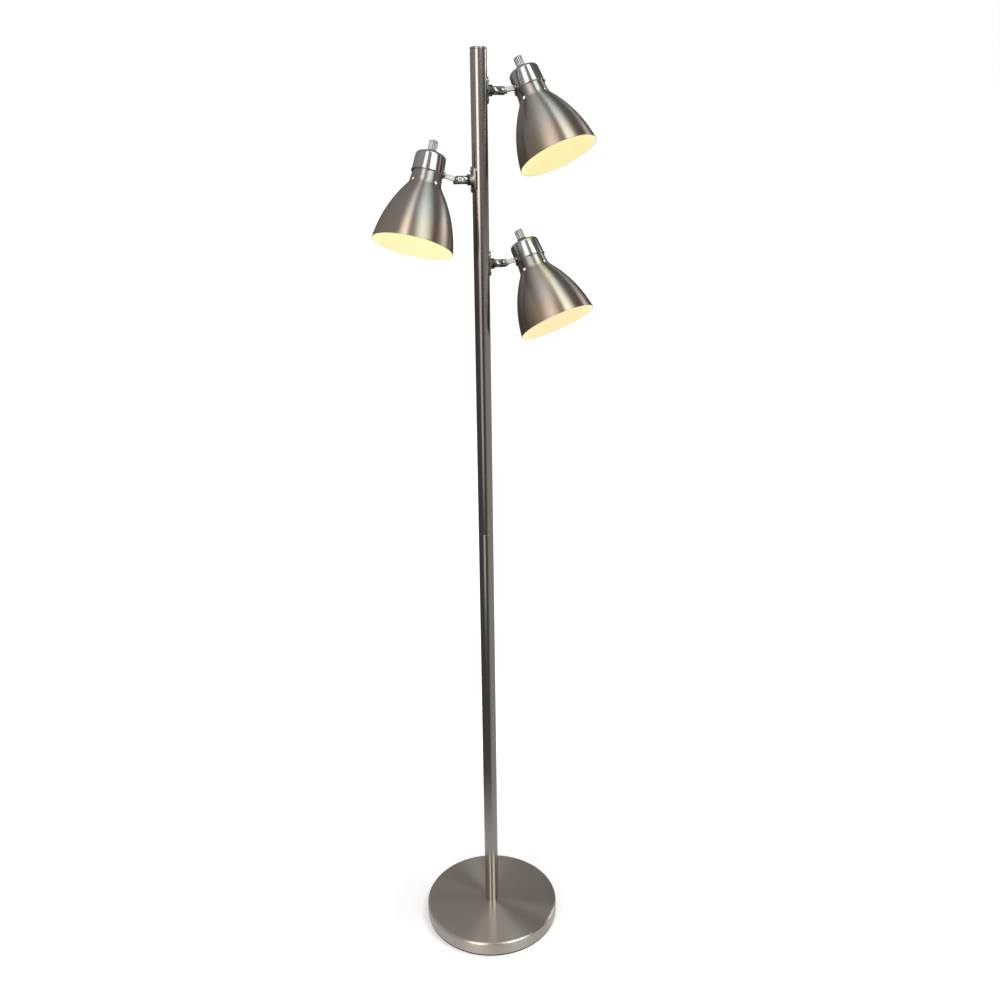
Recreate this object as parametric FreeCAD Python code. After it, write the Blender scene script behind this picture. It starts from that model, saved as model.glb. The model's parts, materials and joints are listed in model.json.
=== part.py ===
import FreeCAD, Part
import math
import os

V = FreeCAD.Vector
Turn = FreeCAD.Rotation
Place = FreeCAD.Placement

# Tree floor lamp: a round weighted base, a two-section pole and three bell-shaped heads on short
# swivelling arms. Millimetres, +Z up, origin at the centre of the base's underside. The arms lie
# along X: the upper and lower heads on +X, the middle head on -X. The front of the lamp is -Y.

# ---------------------------------------------------------------- driving dimensions
seat = 0.05              # gap between pieces that are fixed to each other
running = 0.05           # radial clearance of a turning shaft in its hole
moving_gap = 0.3         # gap between faces that move past each other
past = 1.0               # cutting tools run this far past the faces that they cut
edge_break = 0.6         # chamfer on turned edges
slot_width = 0.8         # screwdriver slots
slot_depth = 0.7

# base
base_diameter = 254.0
base_height = 28.0
base_edge_radius = 4.5
base_sheet = 1.2
pad_thickness = 3.0
pad_inset = 0.8          # the pad's edge stands this far inside the cover
weight_recess_radius = 19.0
weight_recess_height = 9.0
lead_channel = 8.0       # width and height of the lead's channel under the weight
washer_radius = 16.0
washer_thickness = 1.8
base_nut_radius = 9.5
base_nut_thickness = 5.0

# pole
pole_diameter = 25.4
pole_wall = 1.2
pole_top = 1578.0        # height of the whole lamp, top of the pole's cap
pole_lower_share = 0.51  # the joint of the two sections, as a share of the height
pole_cap_height = 3.5
pole_cap_rounding = 2.0
plug_length = 20.0       # length of the ferrules and of the cap's plug
joint_thread_radius = 7.0
nipple_radius = 4.9      # threaded tube that holds the pole to the base
nipple_bore = 3.4
nipple_length = 38.0
nipple_lift = 1.5        # its lower end stands this far above the pad
plug_wall = 2.0
spigot_hole_gap = 0.2    # radial room for an arm's spigot in the pole

# bushing where the mains lead leaves the base, at the back
bushing_bore = 3.4
bushing_radius = 5.6
bushing_flange_radius = 7.4
bushing_flange = 1.6
bushing_length = 9.0
bushing_height = 10.5
bushing_collar = 1.6     # thickness of the collar inside the wall
bushing_collar_step = 1.0
bushing_grip = 1.0       # room between wall and collar
bushing_pocket = 1.0     # room round the flange in the weight
bushing_pocket_depth = 3.0   # and past the neck's inner end

# arms
arm_drop = 60.0          # top of the pole down to the upper arm
arm_spacing = 128.0
arm_radius = 6.35
arm_bore = 2.6
pin_reach = 37.0         # pole axis to the tilt pin
fork_slot = 4.1
fork_depth = 6.6         # the slot's floor lies this far behind the pin
fork_tip_top = 3.6       # the fork's end is cut at a slant, from here at the top
fork_tip_bottom = 7.4    # to here at the bottom, both beyond the pin
spigot_radius = 4.5
spigot_inner_end = 4.0   # the spigot ends this far from the pole's axis
pin_radius = 2.0
pin_head_radius = 3.3
pin_head = 1.7
pin_head_gap = 0.4       # radial room round the head in its spotface
pin_face = 5.2           # half the width across the fork's flats at the pin
nut_radius = 6.2
nut_thickness = 4.0

# saddle plates and their screws
saddle_height = 38.0
saddle_width = 19.0
saddle_sheet = 2.2
saddle_corner = 7.0
saddle_boss_radius = 8.4
saddle_boss_end = 20.5   # boss face, from the pole's axis
saddle_screw_pitch = 27.0
screw_radius = 1.8
screw_head_radius = 3.1
screw_head = 1.7
screw_length = 7.0
screw_sink = 0.4         # depth of the spotface under a saddle screw

# tongue that carries the head
tongue_length = 49.0     # tilt pin to the head's axis
tongue_thickness = 3.5
tongue_eye_radius = 5.2
tongue_bar = 7.6
tongue_pad_radius = 4.2
tongue_pad = 2.6
tongue_screw_radius = 2.0
tongue_screw_head_radius = 3.6
tongue_screw_head = 1.8
tongue_screw_grip = 5.5  # thread inside the tongue
tongue_screw_hole = 6.0
cap_taper_gap = 0.2      # lets the screw's flat head clear the tapered cap

# head, measured down its own axis from the top of the cap
arm_level = 24.0         # the tilt pin's level
cap_height = 30.0
cap_top_radius = 23.4
cap_lip_radius = 24.8
cap_rounding = 5.0
cap_sheet = 0.9
cap_lip_step = 0.7       # rolled lip round the bottom edge
cap_lip_width = 1.4
shade_length = 143.0     # top of the cap to the mouth
shade_mouth_radius = 62.5
shade_sheet = 0.8
shade_seat = 28.2        # the shade's inner flange sits here
neck_top_radius = 23.0
neck_end = 44.0
neck_end_radius = 24.4
shoulder_end = 51.5
shoulder_end_radius = 27.2
shade_bend = 1.6         # radius of the bend between the neck and its flange
vent_count = 8
vent_radius = 2.0
vent_level = 46.4

# lampholder, lamp and switch
holder_top = 4.0
holder_radius = 20.0
holder_nose_radius = 16.6
holder_end = 53.0
ring_outer_radius = 20.6
ring_thickness = 4.5
shell_radius = 13.9
shell_sheet = 0.5
shell_length = 24.0
shell_set_back = 2.0     # the shell ends this far short of its length
shell_hole = 3.0
shell_floor = 30.0
lamp_base_radius = 12.9
lamp_base_length = 25.0
lamp_radius = 24.0
lamp_length = 88.0
lamp_glass = 0.9
lamp_neck_radius = 12.0
lamp_neck_length = 7.0
lamp_flare = 2.2         # bulge of the glass between its neck and its round end
lamp_skirt = 6.0         # the base's rim goes this far up the neck
lamp_glass_gap = 0.2     # the glass ends this far short of the rim's floor
contact_radius = 4.0
contact_height = 2.5
contact_cone_radius = 7.74
base_shoulder = 5.0
stem_radius = 4.6        # threaded stem of the switch
stem_rise = 3.4
stem_nut_radius = 6.6
stem_nut = 2.0
spindle_radius = 2.0
spindle_tail = 1.5       # from the lampholder's top to the spindle's lower end
spindle_fit = 0.01       # radial gap where the knob is pressed on
knob_radius = 7.2
knob_skirt_radius = 7.8
knob_skirt = 1.6
knob_height = 17.0
knob_roof = 4.0          # solid top of the knob above the spindle
knob_chamfer = 0.9
knob_flutes = 16
knob_flute_radius = 0.85

# rest position of each head: side of the pole, swivel towards the front, tilt away from the pole
heads = {
    "upper": {"side": 1, "step": 0, "swivel": 26.0, "tilt": 13.0},
    "middle": {"side": -1, "step": 1, "swivel": 14.0, "tilt": 19.0},
    "lower": {"side": 1, "step": 2, "swivel": 29.0, "tilt": 12.0},
}

# ---------------------------------------------------------------- derived sizes
pole_radius = pole_diameter / 2
pole_bore = pole_radius - pole_wall
base_radius = base_diameter / 2
pole_joint = round(pole_top * pole_lower_share)
head_reach = pin_reach + tongue_length
cap_top = arm_level
X = V(1, 0, 0)
Y = V(0, 1, 0)
Z = V(0, 0, 1)


# ---------------------------------------------------------------- helpers
def rod(radius, start, end, axis=Z, at=V(0, 0, 0)):
    """Cylinder along axis from start to end, both measured from at."""
    return Part.makeCylinder(radius, end - start, at + axis * start, axis)


def tube(radius, bore, start, end, axis=Z, at=V(0, 0, 0)):
    return rod(radius, start, end, axis, at).cut(rod(bore, start - past, end + past, axis, at))


def hex_nut(corner_radius, bore, start, end, axis=Z, at=V(0, 0, 0)):
    """Hexagonal nut along axis."""
    turn = Turn(Z, axis)
    corners = [turn.multVec(V(corner_radius * math.cos(a), corner_radius * math.sin(a), start)) + at
               for a in [math.radians(60 * i) for i in range(7)]]
    prism = Part.Face(Part.makePolygon(corners)).extrude(axis * (end - start))
    return prism.cut(rod(bore, start - past, end + past, axis, at))


def tangent_arc(start, direction, end):
    """Arc in the XZ plane that leaves start along direction and runs to end."""
    chord = end - start
    side = direction - chord * (direction.dot(chord) / chord.dot(chord))
    half_angle = chord.getAngle(direction)
    middle = (start + end) * 0.5 + side.normalize() * (chord.Length / 2 * math.tan(half_angle / 2))
    return Part.Arc(start, middle, end).toShape()


def line(start, end):
    return Part.LineSegment(start, end).toShape()


def spun(*outline):
    """Solid of revolution about Z from (radius, height) points."""
    points = [V(r, 0, z) for r, z in outline]
    face = Part.Face(Part.makePolygon(points + points[:1]))
    return face.revolve(V(0, 0, 0), Z, 360)


def spun_sheet(edges, thickness):
    """Sheet-metal shell of revolution about Z: an open line of edges given its thickness."""
    face = Part.Wire(edges).makeOffset2D(thickness, 0, True, True)
    return face.revolve(V(0, 0, 0), Z, 360)


def down(radius, level):
    """Point of a head's outline: radius from its axis, level below the top of the cap."""
    return V(radius, 0, cap_top - level)


def save(name, shape):
    solids = shape.Solids
    assert solids and all(s.isClosed() and s.isValid() for s in solids), name
    if len(solids) == 1:
        solids[0].exportStep("parts/" + name + ".step")
    else:
        Part.makeCompound(solids).exportStep("parts/" + name + ".step")


# ---------------------------------------------------------------- base
def base_cover():
    """Spun steel cover: flat top, rounded edge and upright side, with the pole's and lead's holes."""
    top = base_height
    corner = top - base_edge_radius
    inner = base_radius - base_edge_radius
    side = line(V(base_radius, 0, pad_thickness), V(base_radius, 0, corner))
    edge = tangent_arc(V(base_radius, 0, corner), Z, V(inner, 0, top))
    flat = line(V(inner, 0, top), V(nipple_radius + seat, 0, top))
    cover = spun_sheet([side, edge, flat], -base_sheet)
    if cover.BoundBox.ZMax > top + seat:
        cover = spun_sheet([side, edge, flat], base_sheet)
    lead_hole = rod(bushing_radius + seat, 0, base_diameter, Y, V(0, 0, bushing_height))
    return cover.cut(lead_hole)


def base_weight():
    """Cast filler under the cover, with the nut's recess and the lead's channel on its underside."""
    radius = base_radius - base_sheet - seat
    top = base_height - base_sheet - seat
    edge = base_edge_radius - base_sheet
    slab = rod(radius, pad_thickness + seat, top)
    rim = [e for e in slab.Edges if e.BoundBox.ZMin > top - seat and e.BoundBox.XLength > radius]
    slab = slab.makeChamfer(edge + seat, rim)
    recess = rod(weight_recess_radius, 0, pad_thickness + weight_recess_height)
    channel = Part.makeBox(lead_channel, base_radius, lead_channel,
                           V(-lead_channel / 2, 0, pad_thickness - seat))
    pocket = rod(bushing_flange_radius + bushing_pocket,
                 base_radius - bushing_length - bushing_pocket_depth, base_radius, Y, V(0, 0, bushing_height))
    return slab.cut(recess).cut(channel).cut(pocket).cut(rod(nipple_radius + seat, 0, base_height))


def base_pad():
    """Non-slip foam pad under the whole base."""
    return rod(base_radius - pad_inset, 0, pad_thickness)


def base_nipple():
    """Threaded tube through the weight and into the foot of the pole."""
    bottom = pad_thickness + nipple_lift
    return tube(nipple_radius, nipple_bore, bottom, bottom + nipple_length)


def base_nut():
    """Washer and nut in the weight's recess."""
    top = pad_thickness + weight_recess_height - seat
    washer = tube(washer_radius, nipple_radius + seat, top - washer_thickness, top)
    nut_top = top - washer_thickness - seat
    nut = hex_nut(base_nut_radius, nipple_radius + seat, nut_top - base_nut_thickness, nut_top)
    return Part.makeCompound([washer, nut])


def cord_bushing():
    """Strain bushing in the back of the cover: flange outside, neck through the wall, collar inside."""
    wall_out = base_radius + seat
    wall_in = base_radius - base_sheet - bushing_grip
    at = V(0, 0, bushing_height)
    body = rod(bushing_radius, wall_out - bushing_length, wall_out + bushing_flange, Y, at)
    flange = rod(bushing_flange_radius, wall_out, wall_out + bushing_flange, Y, at)
    collar = rod(bushing_radius + bushing_collar_step, wall_in - bushing_collar, wall_in, Y, at)
    bore = rod(bushing_bore, 0, base_diameter, Y, at)
    return body.fuse([flange, collar]).cut(bore).removeSplitter()


# ---------------------------------------------------------------- pole
def arm_height(head):
    return pole_top - arm_drop - head["step"] * arm_spacing


def pole_lower():
    return tube(pole_radius, pole_bore, base_height, pole_joint)


def pole_upper():
    """Upper section, drilled for each arm's spigot and its saddle's two screws."""
    section = tube(pole_radius, pole_bore, pole_joint, pole_top - pole_cap_height)
    for head in heads.values():
        outward = X * head["side"]
        for rise, radius in ((0, spigot_radius + spigot_hole_gap),
                             (saddle_screw_pitch / 2, screw_radius + seat),
                             (-saddle_screw_pitch / 2, screw_radius + seat)):
            at = V(0, 0, arm_height(head) + rise)
            section = section.cut(rod(radius, 0, pole_diameter, outward, at))
    return section


def pole_cap():
    """Flat cap with a rounded edge and a plug inside the tube."""
    bottom = pole_top - pole_cap_height
    cap = rod(pole_radius, bottom, pole_top)
    rim = [e for e in cap.Edges if e.BoundBox.ZMin > pole_top - seat]
    cap = cap.makeFillet(pole_cap_rounding, rim)
    plug = tube(pole_bore - seat, pole_bore - plug_wall, bottom - plug_length / 2, bottom)
    return cap.fuse(plug).removeSplitter()


def foot_ferrule():
    """Threaded ferrule crimped in the foot of the pole."""
    return tube(pole_bore - seat, nipple_radius + seat, base_height, base_height + plug_length)


def joint_stud():
    """Ferrule in the top of the lower section, with the threaded spigot that stands out of it."""
    lower = rod(pole_bore - seat, pole_joint - plug_length, pole_joint)
    spigot = rod(joint_thread_radius, pole_joint, pole_joint + plug_length - plug_wall)
    bore = rod(nipple_radius, pole_joint - plug_length - past, pole_joint + plug_length)
    return lower.fuse(spigot).cut(bore).removeSplitter()


def joint_socket():
    """Threaded ferrule in the bottom of the upper section."""
    return tube(pole_bore - seat, joint_thread_radius + seat, pole_joint + seat, pole_joint + plug_length)


# ---------------------------------------------------------------- arm, drawn along +X at height 0
def saddle():
    """Curved plate on the pole with the round boss that the arm turns in."""
    outer = pole_radius + saddle_sheet
    half_w, half_h = saddle_width / 2, saddle_height / 2
    blank = Part.makeBox(outer, saddle_width, saddle_height, V(0, -half_w, -half_h))
    corners = [e for e in blank.Edges if e.BoundBox.XLength > outer - seat]
    blank = blank.makeFillet(saddle_corner, corners)
    plate = blank.common(rod(outer, -saddle_height, saddle_height))
    boss = rod(saddle_boss_radius, 0, saddle_boss_end, X)
    inside = rod(pole_radius + seat, -saddle_height, saddle_height)
    plate = plate.fuse(boss).cut(inside).cut(rod(spigot_radius + running, 0, base_diameter, X))
    for rise in (saddle_screw_pitch / 2, -saddle_screw_pitch / 2):
        plate = plate.cut(rod(screw_radius + seat, 0, base_diameter, X, V(0, 0, rise)))
        plate = plate.cut(rod(screw_head_radius + seat, outer - screw_sink, base_diameter, X, V(0, 0, rise)))
    return plate.removeSplitter()


def saddle_screws(rise):
    """Pan-head screw through the saddle into the pole."""
    face = pole_radius + saddle_sheet - screw_sink + seat
    at = V(0, 0, rise)
    shank = rod(screw_radius, face - screw_length, face, X, at)
    head = rod(screw_head_radius, face, face + screw_head, X, at)
    rim = [e for e in head.Edges if e.BoundBox.XMin > face + screw_head - seat]
    slot = Part.makeBox(screw_head, 2 * screw_head_radius, slot_width,
                        V(face + screw_head - slot_depth, -screw_head_radius, rise - slot_width / 2))
    return head.makeChamfer(screw_head / 2, rim).fuse(shank).cut(slot).removeSplitter()


def arm():
    """Turned arm: hollow spigot through saddle and pole, and a slotted fork at the outer end."""
    shoulder = saddle_boss_end + moving_gap
    end = pin_reach + fork_tip_bottom
    body = rod(arm_radius, shoulder, end, X)
    body = body.makeChamfer(edge_break, [e for e in body.Edges if e.BoundBox.XMax < shoulder + seat])
    body = body.fuse(rod(spigot_radius, spigot_inner_end, shoulder, X))
    slant = Part.makePolygon([V(pin_reach + fork_tip_top, -arm_radius * 2, arm_radius),
                              V(end, -arm_radius * 2, -arm_radius),
                              V(end + arm_radius, -arm_radius * 2, -arm_radius),
                              V(end + arm_radius, -arm_radius * 2, arm_radius * 2),
                              V(pin_reach + fork_tip_top, -arm_radius * 2, arm_radius * 2),
                              V(pin_reach + fork_tip_top, -arm_radius * 2, arm_radius)])
    body = body.cut(Part.Face(slant).extrude(Y * arm_radius * 4))
    slot_floor = pin_reach - fork_depth
    slot = Part.makeBox(end, fork_slot, arm_radius * 4, V(slot_floor, -fork_slot / 2, -arm_radius * 2))
    body = body.cut(slot).cut(rod(arm_bore, 0, slot_floor + past, X))
    at = V(pin_reach, 0, 0)
    body = body.cut(rod(pin_radius + running, -arm_radius * 2, arm_radius * 2, Y, at))
    for side in (Y, -Y):
        body = body.cut(rod(pin_head_radius + pin_head_gap, pin_face, arm_radius * 2, side, at))
    return body.removeSplitter()


def arm_fasteners():
    """Tilt screw and its nut across the fork, and the lock nut on the spigot inside the pole."""
    at = V(pin_reach, 0, 0)
    face = pin_face + seat
    shank = rod(pin_radius, -face, face + pin_head, Y, at)
    head = rod(pin_head_radius, face, face + pin_head, -Y, at)
    nut = hex_nut(pin_head_radius, pin_radius + seat, face, face + pin_head, Y, at)
    slot = Part.makeBox(2 * pin_head_radius, pin_head, slot_width,
                        V(pin_reach - pin_head_radius, -face - 2 * pin_head + slot_depth, -slot_width / 2))
    screw = shank.fuse(head).cut(slot).removeSplitter()
    nut_face = math.sqrt(pole_bore ** 2 - nut_radius ** 2) - moving_gap
    lock_nut = hex_nut(nut_radius, spigot_radius + seat, nut_face - nut_thickness, nut_face, X)
    return Part.makeCompound([screw, nut, lock_nut])


# ---------------------------------------------------------------- head, drawn hanging at x = head_reach
def on_head(shape):
    """Moves a shape from the Z axis to the head's axis."""
    return shape.translated(V(head_reach, 0, 0))


def cap_radius_at(level):
    share = level / cap_height
    return cap_top_radius + (cap_lip_radius - cap_top_radius) * share


def tongue():
    """Flat tongue: an eye on the tilt screw, a bar, and a round pad that seats on the cap."""
    half = tongue_thickness / 2
    pad_face = head_reach - cap_radius_at(arm_level) - seat
    eye = rod(tongue_eye_radius, -half, half, Y, V(pin_reach, 0, 0))
    bar = Part.makeBox(pad_face - pin_reach, tongue_thickness, tongue_bar,
                       V(pin_reach, -half, -tongue_bar / 2))
    pad = rod(tongue_pad_radius, pad_face - tongue_pad, pad_face + past, X)
    body = eye.fuse([bar, pad])
    cap_solid = Part.makeCone(cap_lip_radius + seat, cap_top_radius + seat, cap_height,
                              V(head_reach, 0, cap_top - cap_height))
    hole = rod(pin_radius + running, -arm_radius, arm_radius, Y, V(pin_reach, 0, 0))
    thread = rod(tongue_screw_radius, pad_face - tongue_screw_hole, head_reach, X)
    return body.cut(cap_solid).cut(hole).cut(thread).removeSplitter()


def tongue_screw():
    """Screw from inside the cap into the tongue's pad."""
    inside = head_reach - cap_radius_at(arm_level) + cap_sheet + seat + cap_taper_gap
    shank = rod(tongue_screw_radius - seat, inside - cap_sheet - tongue_screw_grip, inside, X)
    head = rod(tongue_screw_head_radius, inside, inside + tongue_screw_head, X)
    barrel = Part.makeCone(cap_lip_radius - cap_sheet - seat, cap_top_radius - cap_sheet - seat, cap_height,
                           V(head_reach, 0, cap_top - cap_height))
    return shank.fuse(head.common(barrel)).removeSplitter()


def cap():
    """Spun cap over the lampholder: rounded top edge, slight taper, rolled lip."""
    round_start = down(cap_radius_at(cap_rounding), cap_rounding)
    round_end = down(cap_top_radius - cap_rounding, 0)
    lip = down(cap_lip_radius, cap_height)
    side = line(lip, round_start)
    edge = tangent_arc(round_start, (round_start - lip).normalize(), round_end)
    flat = line(round_end, down(stem_radius + seat, 0))
    shell = spun_sheet([side, edge, flat], -cap_sheet)
    if shell.BoundBox.ZMax > cap_top + seat:
        shell = spun_sheet([side, edge, flat], cap_sheet)
    lip_ring = tube(cap_lip_radius + cap_lip_step, cap_lip_radius - cap_sheet / 2,
                    cap_top - cap_height, cap_top - cap_height + cap_lip_width)
    shell = on_head(shell.fuse(lip_ring))
    return shell.cut(rod(tongue_screw_radius + seat, pin_reach, head_reach, X)).removeSplitter()


def shade_line():
    """Edges of the shade's outer line, from the flange in the cap to the mouth."""
    hole = down(holder_nose_radius + 2 * seat, shade_seat)
    bend_start = down(neck_top_radius - shade_bend, shade_seat)
    bend_end = down(neck_top_radius, shade_seat + shade_bend)
    neck = down(neck_end_radius, neck_end)
    shoulder = down(shoulder_end_radius, shoulder_end)
    mouth = down(shade_mouth_radius, shade_length)
    neck_run = (neck - bend_end).normalize()
    shoulder_arc = tangent_arc(neck, neck_run, shoulder)
    leave = shoulder_arc.tangentAt(shoulder_arc.LastParameter)
    return [line(hole, bend_start), tangent_arc(bend_start, X, bend_end), line(bend_end, neck),
            shoulder_arc, tangent_arc(shoulder, leave, mouth)]


def shade():
    """Spun bell with an inner flange at its neck and a ring of vent holes below the cap."""
    shell = spun_sheet(shade_line(), shade_sheet)
    if shell.BoundBox.XMax > shade_mouth_radius + seat:
        shell = spun_sheet(shade_line(), -shade_sheet)
    for i in range(vent_count):
        turn = math.radians(360 / vent_count * (i + 0.5))
        outward = V(math.cos(turn), math.sin(turn), 0)
        shell = shell.cut(rod(vent_radius, neck_top_radius - past, shade_mouth_radius, outward,
                              V(0, 0, cap_top - vent_level)))
    return on_head(shell)


def shade_ring():
    """Ring on the lampholder's thread that clamps the shade's flange."""
    top = cap_top - shade_seat - shade_sheet - seat
    return on_head(tube(ring_outer_radius, holder_nose_radius + seat, top - ring_thickness, top))


def lampholder():
    """Moulded lampholder: body under the cap, narrower threaded nose through the shade."""
    nose_top = shade_seat - seat
    body = spun((0, cap_top - holder_top), (holder_radius, cap_top - holder_top),
                (holder_radius, cap_top - nose_top), (holder_nose_radius, cap_top - nose_top),
                (holder_nose_radius, cap_top - holder_end), (shell_radius + seat, cap_top - holder_end),
                (shell_radius + seat, cap_top - shell_floor), (0, cap_top - shell_floor))
    return on_head(body)


def screw_shell():
    """Brass screw shell in the lampholder."""
    top = cap_top - shell_floor - seat
    bottom = top - shell_length + shell_set_back
    return on_head(spun((shell_radius, top), (shell_radius, bottom), (shell_radius - shell_sheet, bottom),
                        (shell_radius - shell_sheet, top - shell_sheet),
                        (shell_hole, top - shell_sheet), (shell_hole, top)))


def lamp_top():
    return cap_top - shell_floor - shell_sheet - 2 * seat


def bulb_base():
    """Lamp's screw base, with its contact."""
    top = lamp_top()
    rim = top - lamp_base_length
    return on_head(spun((0, top), (contact_radius, top), (contact_cone_radius, top - contact_height),
                        (lamp_base_radius, top - base_shoulder), (lamp_base_radius, rim),
                        (lamp_neck_radius + seat, rim), (lamp_neck_radius + seat, rim + lamp_skirt),
                        (0, rim + lamp_skirt)))


def bulb_glass():
    """Glass envelope: round at the bottom, a flared neck in the base."""
    top = lamp_top() - lamp_base_length + lamp_skirt - lamp_glass_gap
    centre = lamp_top() - lamp_length + lamp_radius
    neck = V(lamp_neck_radius, 0, top)
    waist = V(lamp_neck_radius, 0, top - lamp_neck_length)
    widest = V(lamp_radius, 0, centre)
    tip = V(0, 0, centre - lamp_radius)
    inner_tip = tip + Z * lamp_glass
    inner_widest = widest - X * lamp_glass
    inner_neck = neck - X * lamp_glass
    inner_waist = waist - X * lamp_glass
    low = math.sqrt(0.5)
    bulge = V(low, 0, -low)
    flare = (waist + widest) * 0.5 + X * lamp_flare
    inner_flare = flare - X * lamp_glass
    round_end = V(0, 0, centre) + bulge * lamp_radius
    inner_round_end = round_end - bulge * lamp_glass
    edges = [line(neck, waist), Part.Arc(waist, flare, widest).toShape(),
             Part.Arc(widest, round_end, tip).toShape(), line(tip, inner_tip),
             Part.Arc(inner_tip, inner_round_end, inner_widest).toShape(),
             Part.Arc(inner_widest, inner_flare, inner_waist).toShape(),
             line(inner_waist, inner_neck), line(inner_neck, neck)]
    face = Part.Face(Part.Wire(edges))
    return on_head(face.revolve(V(0, 0, 0), Z, 360))


def switch_stem():
    """Threaded stem of the rotary switch, with the round nut on top of the cap."""
    stem = rod(stem_radius, cap_top - holder_top + seat, cap_top + stem_rise)
    nut = rod(stem_nut_radius, cap_top + seat, cap_top + stem_nut)
    nut = nut.makeChamfer(edge_break, [e for e in nut.Edges if e.BoundBox.ZMin > cap_top + stem_nut - seat])
    bore = rod(spindle_radius + running, 0, cap_top + stem_rise + past)
    return on_head(stem.fuse(nut).cut(bore).removeSplitter())


def spindle():
    """Switch spindle: turns in the stem and carries the knob."""
    bottom = cap_top + stem_rise + moving_gap
    return on_head(rod(spindle_radius, cap_top - holder_top + spindle_tail, bottom + knob_height - knob_roof))


def knob():
    """Fluted knob with a plain skirt."""
    bottom = cap_top + stem_rise + moving_gap
    top = bottom + knob_height
    body = rod(knob_radius, bottom, top)
    body = body.makeChamfer(knob_chamfer, [e for e in body.Edges if e.BoundBox.ZMin > top - seat])
    for i in range(knob_flutes):
        turn = 2 * math.pi * i / knob_flutes
        at = V(knob_radius * math.cos(turn), knob_radius * math.sin(turn), 0)
        body = body.cut(rod(knob_flute_radius, bottom + knob_skirt, top + past, Z, at))
    body = body.fuse(rod(knob_skirt_radius, bottom, bottom + knob_skirt)).removeSplitter()
    return on_head(body.cut(rod(spindle_radius + spindle_fit, 0, bottom + knob_height - knob_roof)))


# ---------------------------------------------------------------- assembly
def side_place(head):
    return Place(V(0, 0, arm_height(head)), Turn(Z, 0 if head["side"] > 0 else 180))


def arm_place(head):
    swivel = Place(V(0, 0, arm_height(head)), Turn(V(-1, 0, 0), head["swivel"]))
    return swivel * Place(V(0, 0, 0), Turn(Z, 0 if head["side"] > 0 else 180))


def head_place(head):
    return arm_place(head) * Place(V(0, 0, 0), Turn(V(0, -1, 0), head["tilt"]), V(pin_reach, 0, 0))


def placed(shape, place):
    moved = shape.copy()
    moved.Placement = place.multiply(shape.Placement)
    return moved


def build():
    os.makedirs("parts", exist_ok=True)
    for make in (base_cover, base_weight, base_pad, base_nipple, base_nut, cord_bushing,
                 pole_lower, pole_upper, pole_cap, foot_ferrule, joint_stud, joint_socket):
        save(make.__name__, make())
    fixed = {"saddle": saddle()}
    on_arm = {make.__name__: make() for make in (arm, arm_fasteners)}
    tilting = {make.__name__: make() for make in (
        tongue, tongue_screw, cap, shade, shade_ring, lampholder, screw_shell, bulb_base, bulb_glass,
        switch_stem, spindle, knob)}
    screw_pair = [saddle_screws(rise) for rise in (saddle_screw_pitch / 2, -saddle_screw_pitch / 2)]
    screws = []
    for name, head in heads.items():
        for pieces, place in ((fixed, side_place(head)), (on_arm, arm_place(head)),
                              (tilting, head_place(head))):
            for piece, shape in pieces.items():
                save(name + "_" + piece, placed(shape, place))
        screws += [placed(screw, side_place(head)) for screw in screw_pair]
    save("saddle_screws", Part.makeCompound(screws))


build()
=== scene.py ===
import bpy, bmesh, json, math
from mathutils import Matrix, Vector


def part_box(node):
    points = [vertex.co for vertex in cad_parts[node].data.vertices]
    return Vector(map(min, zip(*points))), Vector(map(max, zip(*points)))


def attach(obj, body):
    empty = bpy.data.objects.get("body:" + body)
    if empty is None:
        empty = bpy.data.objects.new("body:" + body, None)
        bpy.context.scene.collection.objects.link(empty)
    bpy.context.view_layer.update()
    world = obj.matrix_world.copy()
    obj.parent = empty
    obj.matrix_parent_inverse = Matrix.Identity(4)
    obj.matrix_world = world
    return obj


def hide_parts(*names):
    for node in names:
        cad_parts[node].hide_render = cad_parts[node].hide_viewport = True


# a tree floor lamp: first its stand, then three heads that are alike, then the room round it
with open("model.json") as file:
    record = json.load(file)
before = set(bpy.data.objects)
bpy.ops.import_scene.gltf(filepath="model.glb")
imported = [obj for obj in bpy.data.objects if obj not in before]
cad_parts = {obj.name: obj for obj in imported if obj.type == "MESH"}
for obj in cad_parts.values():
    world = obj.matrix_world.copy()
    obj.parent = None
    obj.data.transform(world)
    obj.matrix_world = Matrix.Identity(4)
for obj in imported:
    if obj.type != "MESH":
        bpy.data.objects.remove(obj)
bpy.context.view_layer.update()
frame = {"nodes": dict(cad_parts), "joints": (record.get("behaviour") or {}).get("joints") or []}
print("frame loaded")

mm = 0.001               # shapes are given in millimetres, everything else in metres
upright = Vector((0, 0, 1))
backward = Vector((0, 1, 0))
sideways = Vector((1, 0, 0))     # the arms leave the pole along X
headNames = ["upper", "middle", "lower"]
standBody = "root"
joints = {joint["name"]: joint for joint in frame["joints"]}
knobJointRise = 10.0     # a knob's joint lies this far above the top of its cap, in millimetres
joinReach = 1e-6         # corners that lie nearer than this, in metres, are one
cadJoinReach = 2e-6      # and in the solids' own meshes
roundingSteps = 5        # faces in a rounded corner
drillSteps = 32          # faces round a drilled hole

cameraSettings = {
    "place": (-0.6118, -1.5023, 1.42915),
    "turn": 0.4021,      # radians, from +Y towards +X
    "pitch": 0.3347,     # radians below the horizon
    "roll": -0.0112,
    "lens": 35.956,      # millimetres
    "sensor": 36.0,
    "nearest": 0.05,
    "farthest": 60,
}


def newObject(name, data):
    made = bpy.data.objects.new(name, data)
    bpy.context.scene.collection.objects.link(made)
    return made


def meshObject(name, bm):
    mesh = bpy.data.meshes.new(name)
    bm.to_mesh(mesh)
    bm.free()
    return newObject(name, mesh)


# a frame at a place, from the three ways that its axes point
def framedAt(place, x, y, z):
    return Matrix.Translation(place) @ Matrix((x, y, z)).transposed().to_4x4()


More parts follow.
